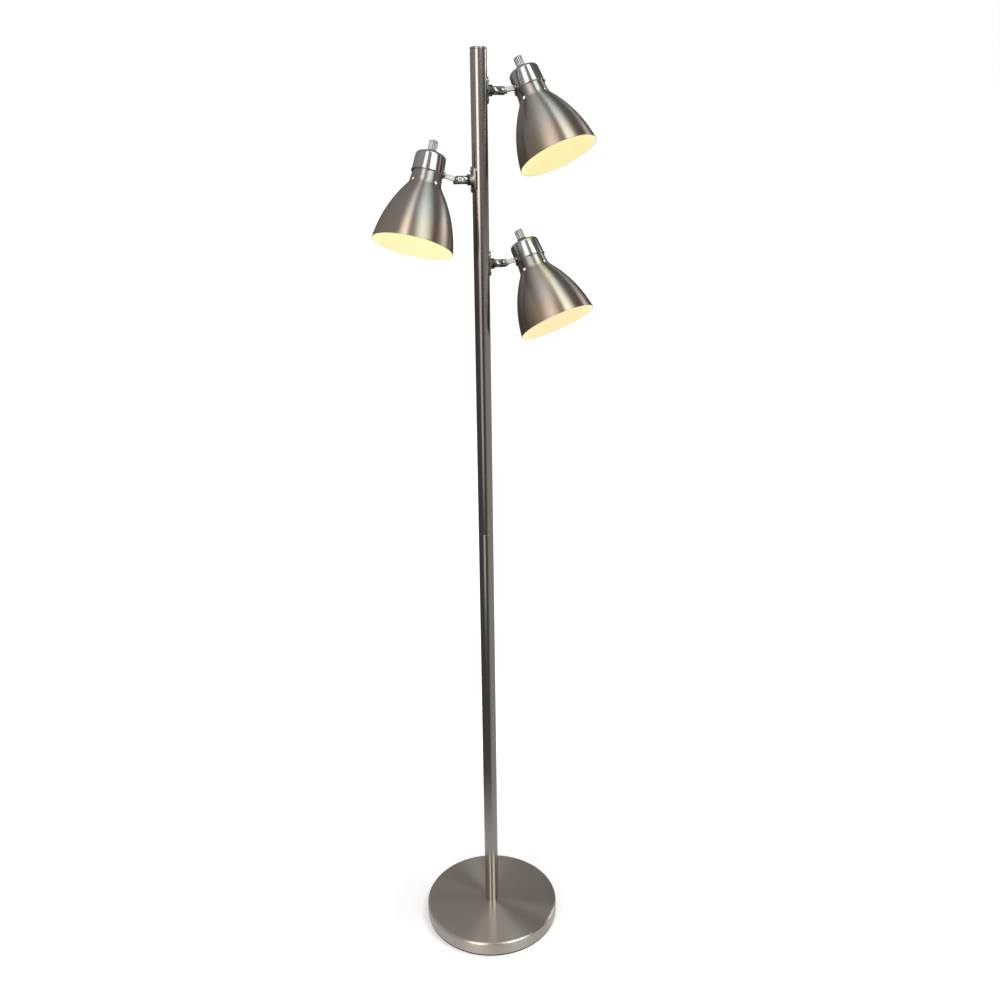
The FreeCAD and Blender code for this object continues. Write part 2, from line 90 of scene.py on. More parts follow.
# the photographer's level ways: to the right, and away from the photographer
def levelWays(turn):
    right = Vector((math.cos(turn), -math.sin(turn), 0))
    back = Vector((math.sin(turn), math.cos(turn), 0))
    return right, back


def makeCamera(values):
    turn, pitch, roll = values["turn"], values["pitch"], values["roll"]
    level = math.cos(pitch)
    forward = Vector((math.sin(turn) * level, math.cos(turn) * level, -math.sin(pitch)))
    right = levelWays(turn)[0]
    up = right.cross(forward)
    rolledRight = right * math.cos(roll) + up * math.sin(roll)
    rolledUp = up * math.cos(roll) - right * math.sin(roll)
    data = bpy.data.cameras.new("photoCamera")
    data.lens, data.sensor_width = values["lens"], values["sensor"]
    data.clip_start, data.clip_end = values["nearest"], values["farthest"]
    camera = newObject("photoCamera", data)
    camera.matrix_world = framedAt(values["place"], rolledRight, rolledUp, -forward)
    bpy.context.scene.camera = camera


makeCamera(cameraSettings)
print("camera placed")

ownTrees = []            # this script's node trees, laid out at the end


def node(tree, kind, **values):
    made = tree.nodes.new(kind)
    for key, value in values.items():
        setattr(made, key, value)
    return made


# a socket takes another node's output, or a plain value
def feed(tree, socket, value):
    if value is None:
        return
    if isinstance(value, bpy.types.NodeSocket):
        tree.links.new(value, socket)
    elif socket.type == "RGBA" and len(value) == 3:
        socket.default_value = (*value, 1)
    else:
        socket.default_value = value


def feedAll(tree, made, values):
    for label, value in values.items():
        feed(tree, made.inputs[label], value)


def mathNode(tree, operation, first, second=None, clamp=False):
    made = node(tree, "ShaderNodeMath", operation=operation, use_clamp=clamp)
    feedAll(tree, made, {0: first, 1: second})
    return made.outputs[0]


def vectorNode(tree, operation, first, second=None):
    made = node(tree, "ShaderNodeVectorMath", operation=operation)
    feedAll(tree, made, {0: first, 1: second})
    return made.outputs["Value" if operation in ("DOT_PRODUCT", "LENGTH") else "Vector"]


def heightOf(tree, vector):
    made = node(tree, "ShaderNodeSeparateXYZ")
    feed(tree, made.inputs[0], vector)
    return made.outputs["Z"]


def noiseAt(tree, vector, scale, detail=2.0, roughness=0.5):
    made = node(tree, "ShaderNodeTexNoise")
    feedAll(tree, made, {"Vector": vector, "Scale": scale, "Detail": detail,
                         "Roughness": roughness})
    return made.outputs["Fac"]


def spanned(tree, value, low, high, toLow, toHigh):
    made = node(tree, "ShaderNodeMapRange")
    feedAll(tree, made, {"Value": value, "From Min": low, "From Max": high, "To Min": toLow,
                         "To Max": toHigh})
    return made.outputs["Result"]


# a noise stays round a half: what lies within reach of it is widened to the wanted range
def widened(tree, noise, toLow, toHigh, reach=0.2):
    return spanned(tree, noise, 0.5 - reach, 0.5 + reach, toLow, toHigh)


def blended(tree, factor, first, second, mode="MIX"):
    made = node(tree, "ShaderNodeMix", data_type="RGBA", blend_type=mode)
    feedAll(tree, made, {0: factor, 6: first, 7: second})
    return made.outputs[2]


# nodes stand in columns, each to the left of those that it feeds
def arranged(tree, wide=240, tall=320):
    column = {made.name: 0 for made in tree.nodes}
    for _ in column:
        for link in tree.links:
            left = column[link.to_node.name] + 1
            column[link.from_node.name] = max(column[link.from_node.name], left)
    filled = dict.fromkeys(column.values(), 0)
    for made in tree.nodes:
        place = column[made.name]
        made.location = (-wide * place, -tall * filled[place])
        filled[place] += 1


# inputs are vectors or numbers with their usual values, and all outputs are numbers
def group(name, inputs, outputs):
    tree = bpy.data.node_groups.new(name, "ShaderNodeTree")
    for label, value in inputs.items():
        kind = "NodeSocketVector" if isinstance(value, tuple) else "NodeSocketFloat"
        made = tree.interface.new_socket(label, in_out="INPUT", socket_type=kind)
        made.default_value = value
    for label in outputs:
        tree.interface.new_socket(label, in_out="OUTPUT", socket_type="NodeSocketFloat")
    ownTrees.append(tree)
    return tree, node(tree, "NodeGroupInput").outputs, node(tree, "NodeGroupOutput")


def placedGroup(tree, source, values):
    made = node(tree, "ShaderNodeGroup", node_tree=source)
    feedAll(tree, made, values)
    return made.outputs


grainSettings = {
    "wander": 9.0,           # scale of a slow drift, so that no ring is perfect
    "driftAlong": 0.0012,    # metres
    "driftDeep": 3.0,
    "broad": 0.11,           # scale of the broad streaks, beside 1 for the fine lines
    "cloud": 22.0,
}


# turning marks round an axis, and where a point lies along the axis and away from it
def makeSpunGroup(values):
    tree, inside, outside = group(
        "spunGrain", {"Vector": (0, 0, 0), "Axis Point": (0, 0, 0), "Axis": (0, 0, 1),
                      "Lines per Metre": 2500.0, "Streak": 0.5},
        ["Lines", "Cloud", "Along", "Away"])
    local = vectorNode(tree, "SUBTRACT", inside["Vector"], inside["Axis Point"])
    along = vectorNode(tree, "DOT_PRODUCT", local, inside["Axis"])
    away = vectorNode(tree, "LENGTH", vectorNode(tree, "CROSS_PRODUCT", inside["Axis"], local))
    wander = noiseAt(tree, local, values["wander"], detail=1.0)
    drifted = mathNode(tree, "ADD", along,
                       mathNode(tree, "MULTIPLY", wander, values["driftAlong"]))
    grid = node(tree, "ShaderNodeCombineXYZ")
    feedAll(tree, grid, {0: mathNode(tree, "MULTIPLY", drifted, inside["Lines per Metre"]),
                         1: mathNode(tree, "MULTIPLY", away, inside["Lines per Metre"]),
                         2: mathNode(tree, "MULTIPLY", wander, values["driftDeep"])})
    fine = noiseAt(tree, grid.outputs[0], 1.0, detail=3.0, roughness=0.6)
    broad = noiseAt(tree, grid.outputs[0], values["broad"])
    lines = node(tree, "ShaderNodeMix", data_type="FLOAT")
    feedAll(tree, lines, {0: inside["Streak"], 2: fine, 3: broad})
    cloud = noiseAt(tree, local, values["cloud"], detail=3.0, roughness=0.55)
    feedAll(tree, outside, {"Lines": lines.outputs[0], "Cloud": cloud, "Along": along,
                            "Away": away})
    return tree


wearSettings = {
    "speck": 0.16,           # a speck's reach, as a share of its cell
    "rub": 14.0,             # scale of the rubbed patches
    "rubSpan": (0.46, 0.72),
    "rubShare": 0.55,        # how much a rub shows beside a speck
}


# handling marks: dust specks and faint rubs
def makeWearGroup(values):
    tree, inside, outside = group(
        "handlingMarks", {"Vector": (0, 0, 0), "Size": 60.0, "Amount": 0.4}, ["Mask", "Height"])
    cells = node(tree, "ShaderNodeTexVoronoi", feature="F1")
    feedAll(tree, cells, {"Vector": inside["Vector"], "Scale": inside["Size"]})
    speck = spanned(tree, cells.outputs["Distance"], 0.0, values["speck"], 1.0, 0.0)
    patch = noiseAt(tree, inside["Vector"], values["rub"], detail=4.0, roughness=0.6)
    rub = spanned(tree, patch, *values["rubSpan"], 0.0, 1.0)
    mark = mathNode(tree, "MAXIMUM", mathNode(tree, "MULTIPLY", speck, rub),
                    mathNode(tree, "MULTIPLY", rub, values["rubShare"]), clamp=True)
    feedAll(tree, outside, {"Mask": mathNode(tree, "MULTIPLY", mark, inside["Amount"], clamp=True),
                            "Height": mathNode(tree, "MULTIPLY", speck, inside["Amount"])})
    return tree


panelFade = 0.06             # how far a panel fades out at its low and its high end


# a soft-edged panel of the room: the level way to its middle, its half width and its heights
def makePanelGroup(fade):
    tree, inside, outside = group(
        "studioPanel", {"Direction": (0, 0, 0), "Middle": (1, 0, 0), "Inner": 0.99,
                        "Outer": 0.97, "Low": 0.0, "High": 0.9}, ["Mask"])
    level = vectorNode(tree, "MULTIPLY", inside["Direction"], (1, 1, 0))
    across = vectorNode(tree, "DOT_PRODUCT", vectorNode(tree, "NORMALIZE", level),
                        inside["Middle"])
    wide = spanned(tree, across, inside["Outer"], inside["Inner"], 0.0, 1.0)
    height = heightOf(tree, inside["Direction"])
    above = mathNode(tree, "SUBTRACT", height, inside["Low"])
    below = mathNode(tree, "SUBTRACT", inside["High"], height)
    tall = mathNode(tree, "MULTIPLY", spanned(tree, above, -fade, fade, 0.0, 1.0),
                    spanned(tree, below, -fade, fade, 0.0, 1.0))
    feed(tree, outside.inputs["Mask"], mathNode(tree, "MULTIPLY", wide, tall))
    return tree


spunGroup = makeSpunGroup(grainSettings)
wearGroup = makeWearGroup(wearSettings)
panelGroup = makePanelGroup(panelFade)
print("shader groups built")

# what all finishes of a kind share, unless a finish has its own
spunUsual = {
    "specks": 90.0,          # to the metre
    "marks": 0.3,
    "cloudShare": 0.5,
    "wornRough": 0.16,       # handling marks are rougher by this much
    "speckHeight": 0.15,
    "depth": 0.00004,
    "highlightTurn": 0.25,   # of a full turn from the marks
}
coatedUsual = {"specks": 120.0, "marks": 0.3, "cloud": 25.0, "metallic": 0.0}


def emptyTree(owner):
    owner.use_nodes = True
    owner.node_tree.nodes.clear()
    ownTrees.append(owner.node_tree)
    return owner.node_tree


def newMaterial(name):
    made = bpy.data.materials.new(name)
    tree = emptyTree(made)
    shader = node(tree, "ShaderNodeBsdfPrincipled")
    feed(tree, node(tree, "ShaderNodeOutputMaterial").inputs[0], shader.outputs[0])
    return made, tree, shader, node(tree, "ShaderNodeTexCoord").outputs["Object"]


def bumped(tree, shader, height, values):
    made = node(tree, "ShaderNodeBump")
    feedAll(tree, made, {"Height": height, "Strength": values["bump"],
                         "Distance": values["depth"]})
    feed(tree, shader.inputs["Normal"], made.outputs[0])


def roughSpan(values):
    return values["rough"] - values["spread"], values["rough"] + values["spread"]


def spunGrain(tree, coords, point, axis, values):
    return placedGroup(tree, spunGroup, {
        "Vector": coords, "Axis Point": tuple(point), "Axis": tuple(axis),
        "Lines per Metre": values["lines"], "Streak": values["streak"]})


def handlingMarks(tree, coords, values):
    return placedGroup(tree, wearGroup, {
        "Vector": coords, "Size": values["specks"], "Amount": values["marks"]})


# the turning marks run round the axis, and the stretched highlight lies across them
def alongGrain(tree, shader, coords, point, axis):
    local = vectorNode(tree, "SUBTRACT", coords, tuple(point))
    around = vectorNode(tree, "CROSS_PRODUCT", tuple(axis), local)
    toWorld = node(tree, "ShaderNodeVectorTransform", vector_type="VECTOR",
                   convert_from="OBJECT", convert_to="WORLD")
    feed(tree, toWorld.inputs[0], around)
    feed(tree, shader.inputs["Tangent"], vectorNode(tree, "NORMALIZE", toWorld.outputs[0]))


# turned and brushed metal: fine rings about an axis, a stretched highlight, faint clouding
def spunMetal(name, point, axis, finish):
    values = dict(spunUsual, **finish)
    made, tree, shader, coords = newMaterial(name)
    grain = spunGrain(tree, coords, point, axis, values)
    wear = handlingMarks(tree, coords, values)
    lines = grain["Lines"]
    tint = blended(tree, widened(tree, lines, 0.0, 1.0), values["dark"], values["light"])
    cloud = mathNode(tree, "MULTIPLY", grain["Cloud"], values["cloudShare"])
    colour = blended(tree, cloud, tint, values["tone"])
    # a rim is another colour by place: towards a shade's mouth, or painted shade in a knob's
    # flutes
    if "rim" in values:      # another colour towards a mouth or in flutes
        rim = values["rim"]
        share = spanned(tree, grain[rim["by"]], rim["from"], rim["to"], 0.0, rim["amount"])
        colour = blended(tree, share, colour, rim["colour"])
    clean = widened(tree, lines, *roughSpan(values), reach=0.25)
    worn = mathNode(tree, "MULTIPLY", wear["Mask"], values["wornRough"])
    specks = mathNode(tree, "MULTIPLY", wear["Height"], values["speckHeight"])
    feedAll(tree, shader, {
        "Base Color": colour, "Roughness": mathNode(tree, "ADD", clean, worn, clamp=True),
        "Metallic": 1.0, "Anisotropic": values["stretch"],
        "Anisotropic Rotation": values["highlightTurn"]})
    bumped(tree, shader, mathNode(tree, "ADD", lines, specks), values)
    if values["stretch"] > 0:
        alongGrain(tree, shader, coords, point, axis)
    return made


# plated, moulded or cast surfaces: an even colour with a fine skin, clouding and handling marks
def coatedMaterial(name, finish):
    values = dict(coatedUsual, **finish)
    made, tree, shader, coords = newMaterial(name)
    wear = handlingMarks(tree, coords, values)
    skin = noiseAt(tree, coords, values["grain"], detail=3.0, roughness=0.6)
    cloud = widened(tree, noiseAt(tree, coords, values["cloud"]), 0.0, 1.0, reach=0.15)
    tint = blended(tree, cloud, values["dark"], values["light"])
    feedAll(tree, shader, {
        "Base Color": blended(tree, wear["Mask"], tint, values["worn"]),
        "Roughness": widened(tree, skin, *roughSpan(values)), "Metallic": values["metallic"]})
    bumped(tree, shader, mathNode(tree, "ADD", skin, wear["Height"]), values)
    return made


# a surface with the lamp's light painted on it as a glow: one colour at its near end, another deep
# inside
def litMaterial(name, point, axis, values):
    made, tree, shader, coords = newMaterial(name)
    grain = spunGrain(tree, coords, point, axis, values)
    skin = noiseAt(tree, coords, values["skin"], roughness=0.6)
    deep = spanned(tree, grain["Along"], values["mouth"], values["deep"], 0.0, 1.0)
    drift = widened(tree, noiseAt(tree, coords, values["driftScale"], detail=1.0), 0.0,
                    values["drift"], reach=0.15)
    glow = blended(tree, mathNode(tree, "ADD", deep, drift, clamp=True), values["near"],
                   values["far"])
    # painted reflection: glossy rays see the painted glow brighter, as metal near it mirrors the
    # lamp's full light
    path = node(tree, "ShaderNodeLightPath").outputs      # metal mirrors the lamp's full light
    mirrored = blended(tree, 1.0, glow, (values["mirrored"],) * 3, "MULTIPLY")
    feedAll(tree, shader, {
        "Base Color": blended(tree, grain["Cloud"], values["paint"], values["paintShade"]),
        "Roughness": widened(tree, skin, *roughSpan(values)),
        "Emission Color": blended(tree, path["Is Glossy Ray"], glow, mirrored),
        "Emission Strength": values["strength"]})
    bumped(tree, shader, skin, values)
    return made


def glowingGlass(name, values):
    made, tree, shader, coords = newMaterial(name)
    cloud = noiseAt(tree, coords, values["cloud"])
    skin = noiseAt(tree, coords, values["skin"])
    feedAll(tree, shader, {
        "Base Color": blended(tree, cloud, values["light"], values["dark"]),
        "Roughness": widened(tree, skin, *roughSpan(values)),
        "Emission Color": blended(tree, cloud, values["core"], values["edge"]),
        "Emission Strength": values["strength"]})
    bumped(tree, shader, skin, values)
    return made


# a head's own frame: z up its axis from the top of the cap, x away from the tilt pin
def headMatrix(name):
    knob, tilt = joints[name + "_knob_turn"], joints[name + "_head_tilt"]
    up = Vector(knob["axis"]).normalized()
    top = Vector(knob["pos_m"]) - up * knobJointRise * mm
    away = top - Vector(tilt["pos_m"])
    away = (away - up * away.dot(up)).normalized()
    return framedAt(top, away, up.cross(away), up)


def armAxis(name):
    start = Vector(joints[name + "_arm_swivel"]["pos_m"])
    pin = Vector(joints[name + "_head_tilt"]["pos_m"])
    return start, (pin - start).normalized()


# the arc that leaves start along a direction and ends at end: its points and last direction
def tangentArc(start, direction, end, steps):
    chord = end - start
    turn = 2 * math.atan2(direction.x * chord.y - direction.y * chord.x, direction.dot(chord))
    diameter = chord.length / math.sin(turn / 2)

    def turnedBy(angle):
        return Vector((direction.x * math.cos(angle) - direction.y * math.sin(angle),
                       direction.x * math.sin(angle) + direction.y * math.cos(angle)))

    points = []
    for i in range(1, steps + 1):
        half = turn * i / steps / 2
        points.append(start + turnedBy(half) * diameter * math.sin(half))
    return points, turnedBy(turn)


# an outline in millimetres of (radius, height, rounding), turned once round Z
def turned(outline, steps, closed=True):
    bm = bmesh.new()
    corners = [bm.verts.new((values[0] * mm, 0, values[1] * mm)) for values in outline]
    following = corners[1:] + corners[:1] if closed else corners[1:]
    for first, second in zip(corners, following):
        bm.edges.new((first, second))
    for corner, values in zip(corners, outline):
        if len(values) > 2:
            bmesh.ops.bevel(bm, geom=[corner], offset=values[2] * mm, offset_type="OFFSET",
                            segments=roundingSteps, profile=0.5, affect="VERTICES", material=-1)
    bmesh.ops.spin(bm, geom=bm.verts[:] + bm.edges[:], cent=(0, 0, 0), axis=upright,
                   dvec=(0, 0, 0), angle=2 * math.pi, steps=steps, use_merge=True)
    bmesh.ops.remove_doubles(bm, verts=bm.verts, dist=joinReach)
    bmesh.ops.recalc_face_normals(bm, faces=bm.faces)
    if not closed:       # an open sheet can come out facing inwards
        widest = max(bm.faces, key=lambda face: face.calc_center_median().xy.length)
        if widest.normal.dot(Vector((*widest.calc_center_median().xy, 0))) < 0:
            bmesh.ops.reverse_faces(bm, faces=bm.faces)
    return bm


def newPiece(name, bm, matrix, body, materials, nodes=()):
    bm.transform(matrix)
    piece = meshObject(name, bm)
    for material in materials:
        piece.data.materials.append(material)
    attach(piece, body)
    if nodes:
        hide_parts(*nodes)
    return piece


# modifiers become mesh, faces turn smooth and corners stay crisp
def finished(piece, sharpAngle=32):
    if piece.modifiers:
        bpy.context.view_layer.update()
        shaped = piece.evaluated_get(bpy.context.evaluated_depsgraph_get())
        shapedMesh = bpy.data.meshes.new_from_object(shaped)
        piece.modifiers.clear()
        piece.data = shapedMesh
    piece.data.shade_smooth()
    piece.data.set_sharp_from_angle(angle=math.radians(sharpAngle))


# holes are (middle, direction, radius, length), in metres
def drilled(piece, holes):
    bm = bmesh.new()
    for middle, direction, radius, length in holes:
        aimed = direction.to_track_quat("Z", "Y").to_matrix().to_4x4()
        bmesh.ops.create_cone(bm, cap_ends=True, segments=drillSteps, radius1=radius,
                              radius2=radius, depth=length,
                              matrix=Matrix.Translation(middle) @ aimed)
    drills = meshObject("drills", bm)
    cut = piece.modifiers.new("drilled", "BOOLEAN")
    cut.object, cut.operation, cut.solver = drills, "DIFFERENCE", "EXACT"
    finished(piece)
    bpy.data.objects.remove(drills)


# a CAD node's own shape with its corners joined, smooth faces and crisp edges
def dressed(nodeName, body, material):
    bm = bmesh.new()
    bm.from_mesh(frame["nodes"][nodeName].data)
    bmesh.ops.remove_doubles(bm, verts=bm.verts, dist=cadJoinReach)
    for face in bm.faces:
        face.material_index = 0
    finished(newPiece(nodeName + "_finished", bm, Matrix(), body, [material],
                      [nodeName]))


# pieces that never show keep their CAD shape
def setMaterial(nodeName, material):
    data = frame["nodes"][nodeName].data
    data.materials.clear()
    data.materials.append(material)


standFinish = {
    "lines": 1500.0, "streak": 0.1,
    "dark": (0.36, 0.325, 0.29), "light": (0.40, 0.363, 0.325), "tone": (0.38, 0.345, 0.31),
    "rough": 0.18, "spread": 0.02, "stretch": 0.3, "bump": 0.03,
}
baseFinish = dict(
    standFinish, marks=0.35, rough=0.32, stretch=0.91,
    dark=(0.56, 0.49, 0.43), light=(0.60, 0.53, 0.465), tone=(0.58, 0.51, 0.445))
plainZinc = {
    "grain": 700.0,
    "dark": (0.42, 0.43, 0.44), "light": (0.55, 0.56, 0.57), "worn": (0.30, 0.30, 0.30),
    "rough": 0.38, "spread": 0.08, "metallic": 1.0, "bump": 0.2, "depth": 0.00005,
}
blackFoam = {
    "grain": 900.0, "marks": 0.6,
    "dark": (0.012, 0.012, 0.012), "light": (0.03, 0.03, 0.03), "worn": (0.07, 0.068, 0.065),
    "rough": 0.85, "spread": 0.08, "bump": 0.5, "depth": 0.0003,
}
blackPlastic = {
    "grain": 1500.0,
    "dark": (0.014, 0.014, 0.014), "light": (0.022, 0.022, 0.022), "worn": (0.06, 0.06, 0.06),
    "rough": 0.42, "spread": 0.06, "bump": 0.15, "depth": 0.00006,
}
castFiller = {
    "grain": 260.0, "cloud": 60.0, "marks": 0.7,
    "dark": (0.26, 0.25, 0.23), "light": (0.46, 0.44, 0.41), "worn": (0.6, 0.58, 0.54),
    "rough": 0.9, "spread": 0.06, "bump": 0.8, "depth": 0.0008,
}
brassFinish = {
    "grain": 700.0,
    "dark": (0.55, 0.40, 0.17), "light": (0.72, 0.56, 0.27), "worn": (0.35, 0.25, 0.12),
    "rough": 0.28, "spread": 0.06, "metallic": 1.0, "bump": 0.2, "depth": 0.00005,
}
poleMetal = spunMetal("brushedPoleNickel", (0, 0, 0), upright, standFinish)
baseMetal = spunMetal("brushedBaseNickel", (0, 0, 0), upright, baseFinish)
zinc = coatedMaterial("zincPlate", plainZinc)
foam = coatedMaterial("blackFoam", blackFoam)
moulded = coatedMaterial("blackMoulding", blackPlastic)
filler = coatedMaterial("castFiller", castFiller)
brass = coatedMaterial("rolledBrass", brassFinish)

# shapes are in millimetres, and edge, lip, end and rounding round off a corner
coverShape = {"radius": 127.0, "edge": 4.5, "sheet": 1.2, "lip": 0.35, "hole": 4.95,
              "leadHole": 5.65, "leadLevel": 10.5, "leadDrill": 20, "steps": 192}


def makeBaseCover(values):
    bottom, top = (corner[2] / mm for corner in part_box("base_cover"))
    outer, sheet, edge = values["radius"], values["sheet"], values["edge"]
    hole, lip = values["hole"], values["lip"]
    outline = [(hole, top), (outer, top, edge), (outer, bottom, lip),
               (outer - sheet, bottom, lip), (outer - sheet, top - sheet, edge - sheet),
               (hole, top - sheet)]
    cover = newPiece("base_cover_finished", turned(outline, values["steps"]), Matrix(),
                     standBody, [baseMetal], ["base_cover"])
    back = Vector((0, outer, values["leadLevel"])) * mm
    drilled(cover, [(back, backward, values["leadHole"] * mm, values["leadDrill"] * mm)])


poleShape = {"radius": 12.7, "wall": 1.2, "end": 0.35, "spigot": 4.7, "screw": 1.85,
             "screwPitch": 27.0, "capHeight": 3.5, "capRounding": 2.0, "plug": 10.0,
             "plugWall": 2.0, "plugGap": 0.05, "steps": 96}


def makePoleSection(nodeName, values, holes):
    bottom, top = (corner[2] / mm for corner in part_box(nodeName))
    outer, bore, end = values["radius"], values["radius"] - values["wall"], values["end"]
    outline = [(outer, bottom, end), (outer, top, end), (bore, top), (bore, bottom)]
    section = newPiece(nodeName + "_finished", turned(outline, values["steps"]), Matrix(),
                       standBody, [poleMetal], [nodeName])
    if holes:
        drilled(section, holes)
    else:
        finished(section)


# one wall of the pole is drilled for each arm's spigot and its saddle's two screws
def poleHoles(values):
    holes = []
    screwRise = values["screwPitch"] / 2
    for name in headNames:
        start, outward = armAxis(name)
        wall = start + Vector((outward.x, 0, 0)).normalized() * values["radius"] * mm
        for rise, radius in ((0, values["spigot"]), (screwRise, values["screw"]),
                             (-screwRise, values["screw"])):
            holes.append((wall + upright * rise * mm, sideways, radius * mm,
                          values["radius"] * mm))
    return holes


def makePoleCap(values):
    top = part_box("pole_cap")[1][2] / mm
    outer, low = values["radius"], top - values["capHeight"]
    bore = outer - values["wall"] - values["plugGap"]
    inner, plugEnd = bore - values["plugWall"], low - values["plug"]
    outline = [(0, top), (outer, top, values["capRounding"]), (outer, low, values["end"]),
               (bore, low), (bore, plugEnd), (inner, plugEnd), (inner, low), (0, low)]
    finished(newPiece("pole_cap_finished", turned(outline, values["steps"]), Matrix(),
                      standBody, [poleMetal], ["pole_cap"]))


makeBaseCover(coverShape)
makePoleSection("pole_lower", poleShape, [])
makePoleSection("pole_upper", poleShape, poleHoles(poleShape))
makePoleCap(poleShape)
dressed("base_pad", standBody, foam)
dressed("cord_bushing", standBody, moulded)
dressed("saddle_screws", standBody, zinc)
setMaterial("base_weight", filler)
for hidden in ("base_nipple", "base_nut", "foot_ferrule", "joint_stud", "joint_socket"):
    setMaterial(hidden, zinc)
print("stand finished")

shadeFinish = {
    "lines": 1400.0, "streak": 0.15,
    "dark": (0.356, 0.330, 0.308), "light": (0.417, 0.389, 0.366), "tone": (0.387, 0.360, 0.337),
    "rough": 0.33, "spread": 0.03, "stretch": 0.96, "bump": 0.04,
    "rim": {"by": "Along", "from": -0.095, "to": -0.125, "amount": 0.55,
            "colour": (0.44, 0.32, 0.21)},
}
# the white enamel inside a shade, with the lamp's light painted on it as a glow
enamelFinishAndPaintedGlow = {
    "lines": 400.0, "streak": 0.8, "skin": 900.0, "mouth": -0.143, "deep": -0.06,
    "drift": 0.6, "driftScale": 11.0, "strength": 0.55, "mirrored": 2.2,
    "paint": (0.46, 0.42, 0.34), "paintShade": (0.42, 0.38, 0.30),
    "rough": 0.44, "spread": 0.06, "bump": 0.08, "depth": 0.00003,
}
# each lamp's light as painted on its enamel, near the mouth and deep inside
lampGlow = {             # no two lamps burn quite alike
    "upper": {"near": (1.0, 0.97, 0.51), "far": (0.98, 0.89, 0.40)},
    "middle": {"near": (1.0, 1.0, 0.56), "far": (1.0, 0.98, 0.46)},
    "lower": {"near": (0.98, 0.95, 0.56), "far": (1.0, 0.84, 0.47)},
}
# a head's levels are measured down from the top of its cap; a pair is a radius and its level
shadeShape = {
    "seat": (16.7, 28.2), "neckEnd": (24.4, 44.0), "shoulder": (27.2, 51.5),
    "mouth": (62.5, 143.0), "neckTop": 23.0, "bend": 1.6, "sheet": 0.8,
    "bendSteps": 5, "neckSteps": 8, "bellSteps": 40, "steps": 160,
    "firstVent": 22.5,           # degrees round the head's axis
    "vents": 4, "ventRadius": 2.0, "ventLevel": 46.4, "ventDrill": 6,
}


def makeShade(name, matrix, values, materials):
    seat, neck, shoulder, mouth = (Vector((values[label][0], -values[label][1]))
                                   for label in ("seat", "neckEnd", "shoulder", "mouth"))
    neckTop, bend = values["neckTop"], values["bend"]
    bendStart, bendEnd = Vector((neckTop - bend, seat.y)), Vector((neckTop, seat.y - bend))
    bent, _ = tangentArc(bendStart, Vector((1, 0)), bendEnd, values["bendSteps"])
    shouldered, leave = tangentArc(neck, (neck - bendEnd).normalized(), shoulder,
                                   values["neckSteps"])
    belled, _ = tangentArc(shoulder, leave, mouth, values["bellSteps"])
    outline = [tuple(point) for point in [seat, bendStart, *bent, neck, *shouldered, *belled]]
    shade = newPiece(name + "_shade_finished", turned(outline, values["steps"], closed=False),
                     matrix, name + "_head_body", materials,
                     [name + "_shade"])
    wall = shade.modifiers.new("wall", "SOLIDIFY")
    wall.thickness, wall.offset, wall.use_even_offset = values["sheet"] * mm, -1, True
    wall.material_offset, wall.material_offset_rim = 1, 0      # enamel inside, metal rim
    vents = []
    for i in range(values["vents"]):
        angle = 2 * math.pi * i / values["vents"] + math.radians(values["firstVent"])
        outward = matrix.to_3x3() @ Vector((math.cos(angle), math.sin(angle), 0))
        middle = matrix @ Vector((0, 0, -values["ventLevel"] * mm)) + outward * neck.x * mm
        vents.append((middle, outward, values["ventRadius"] * mm, values["ventDrill"] * mm))
    drilled(shade, vents)


capFinish = {
    "lines": 1800.0, "streak": 0.1,
    "dark": (0.39, 0.38, 0.37), "light": (0.45, 0.44, 0.43), "tone": (0.42, 0.41, 0.40),
    "rough": 0.14, "spread": 0.02, "stretch": 0.4, "bump": 0.03,
}
capShape = {"top": 23.4, "rounding": 5.0, "lip": (24.8, 30.0), "sheet": 0.9, "stemHole": 4.65,
            "bead": 0.7, "beadWidth": 1.4, "beadRounding": 0.5, "screwHole": 2.05,
            "screwLevel": 24.0, "screwDrill": 8, "steps": 144}


def makeCap(name, matrix, values, material):
    top, rounding = values["top"], values["rounding"]
    sheet, hole = values["sheet"], values["stemHole"]
    (lip, lipLevel), beadRounding = values["lip"], values["beadRounding"]
    bead, beadTop = lip + values["bead"], values["beadWidth"] - lipLevel
    outline = [(hole, 0), (top, 0, rounding), (lip, beadTop), (bead, beadTop, beadRounding),
               (bead, -lipLevel, beadRounding), (lip - sheet, -lipLevel),
               (top - sheet, -sheet, rounding - sheet), (hole, -sheet)]
    cap = newPiece(name + "_cap_finished", turned(outline, values["steps"]), matrix,
                   name + "_head_body", [material], [name + "_cap"])
    inward = matrix.to_3x3() @ -sideways
    middle = matrix @ Vector((0, 0, -values["screwLevel"] * mm)) + inward * top * mm
    drilled(cap, [(middle, inward, values["screwHole"] * mm, values["screwDrill"] * mm)])


stemFinish = dict(
    capFinish, stretch=0.0,
    dark=(0.55, 0.55, 0.54), light=(0.62, 0.62, 0.61), tone=(0.58, 0.58, 0.57))
stemShape = {"radius": 4.6, "rise": 3.4, "bottom": 3.95, "bore": 2.05, "thread": 0.7,
             "threadDepth": 0.35, "nut": 6.6, "nutHeight": 2.0, "nutLift": 0.05,
             "nutRounding": (0.3, 0.6), "steps": 64}


def makeStem(name, matrix, values, material):
    radius, pitch, bore = values["radius"], values["thread"], values["bore"]
    bottom, lift, level = -values["bottom"], values["nutLift"], values["nutHeight"]
    lowRounding, topRounding = values["nutRounding"]
    outline = [(bore, bottom), (radius, bottom), (radius, lift),
               (values["nut"], lift, lowRounding), (values["nut"], level, topRounding),
               (radius, level)]
    while level + pitch <= values["rise"] + 0.01:      # whole turns of thread only
        outline += [(radius - values["threadDepth"], level + pitch / 2), (radius, level + pitch)]
        level += pitch
    outline += [(bore, level)]
    finished(newPiece(name + "_switch_stem_finished", turned(outline, values["steps"]), matrix,
                      name + "_head_body", [material], [name + "_switch_stem"]))


